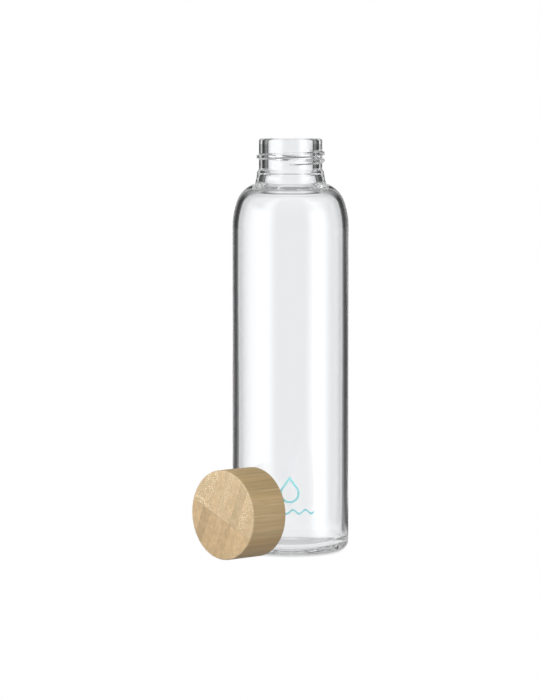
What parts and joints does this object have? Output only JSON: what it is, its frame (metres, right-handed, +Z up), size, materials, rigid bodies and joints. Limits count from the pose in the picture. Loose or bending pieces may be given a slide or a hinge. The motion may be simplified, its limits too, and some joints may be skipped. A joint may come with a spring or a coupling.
{
  "type": "glass water bottle",
  "caption": "Clear glass water bottle with a rounded shoulder and a threaded neck, open, with its turned bamboo screw lid lying on its side beside it.",
  "frame": {"origin": "centre of the ring that the bottle stands on", "axes": "+Z up along the bottle's axis; the lid lies towards -Y with its axis along Y, its mouth towards +Y and its top towards -Y"},
  "size_m": [0.065, 0.0904, 0.231],
  "materials": {
    "glass": "clear polished soda-lime glass",
    "print": "baked pale teal print",
    "silicone": "matt white silicone",
    "insert_plastic": "satin white plastic",
    "bamboo_light": "fine sanded natural bamboo",
    "bamboo_dark": "fine sanded natural bamboo"
  },
  "bodies": {
    "bottle": {"glass_bottle": "glass", "printed_mark": "print"},
    "seal": {"gasket": "silicone"},
    "lid": {"thread_insert": "insert_plastic", "lid_strip_upper_1": "bamboo_light", "lid_strip_upper_2": "bamboo_light", "lid_strip_upper_3": "bamboo_light", "lid_strip_upper_4": "bamboo_light", "lid_strip_upper_5": "bamboo_light", "lid_strip_upper_6": "bamboo_light", "lid_strip_upper_7": "bamboo_light", "lid_strip_upper_8": "bamboo_light", "lid_strip_lower_1": "bamboo_dark", "lid_strip_lower_2": "bamboo_dark", "lid_strip_lower_3": "bamboo_dark", "lid_strip_lower_4": "bamboo_dark", "lid_strip_lower_5": "bamboo_dark", "lid_strip_lower_6": "bamboo_dark", "lid_strip_lower_7": "bamboo_dark", "lid_strip_lower_8": "bamboo_dark"}
  },
  "joints": [
    {"name": "lid_carry", "type": "hinge", "parent": "bottle", "child": "seal", "pos_m": [0.00654, 0.11146, 0.13644], "axis": [-0.9993, 0.0255, -0.0255], "range_deg": [0, 90.04]},
    {"name": "lid_turn", "type": "hinge", "parent": "seal", "child": "lid", "pos_m": [0.0057, -0.0455, 0.0248], "axis": [0, -1, 0], "continuous": true}
  ]
}
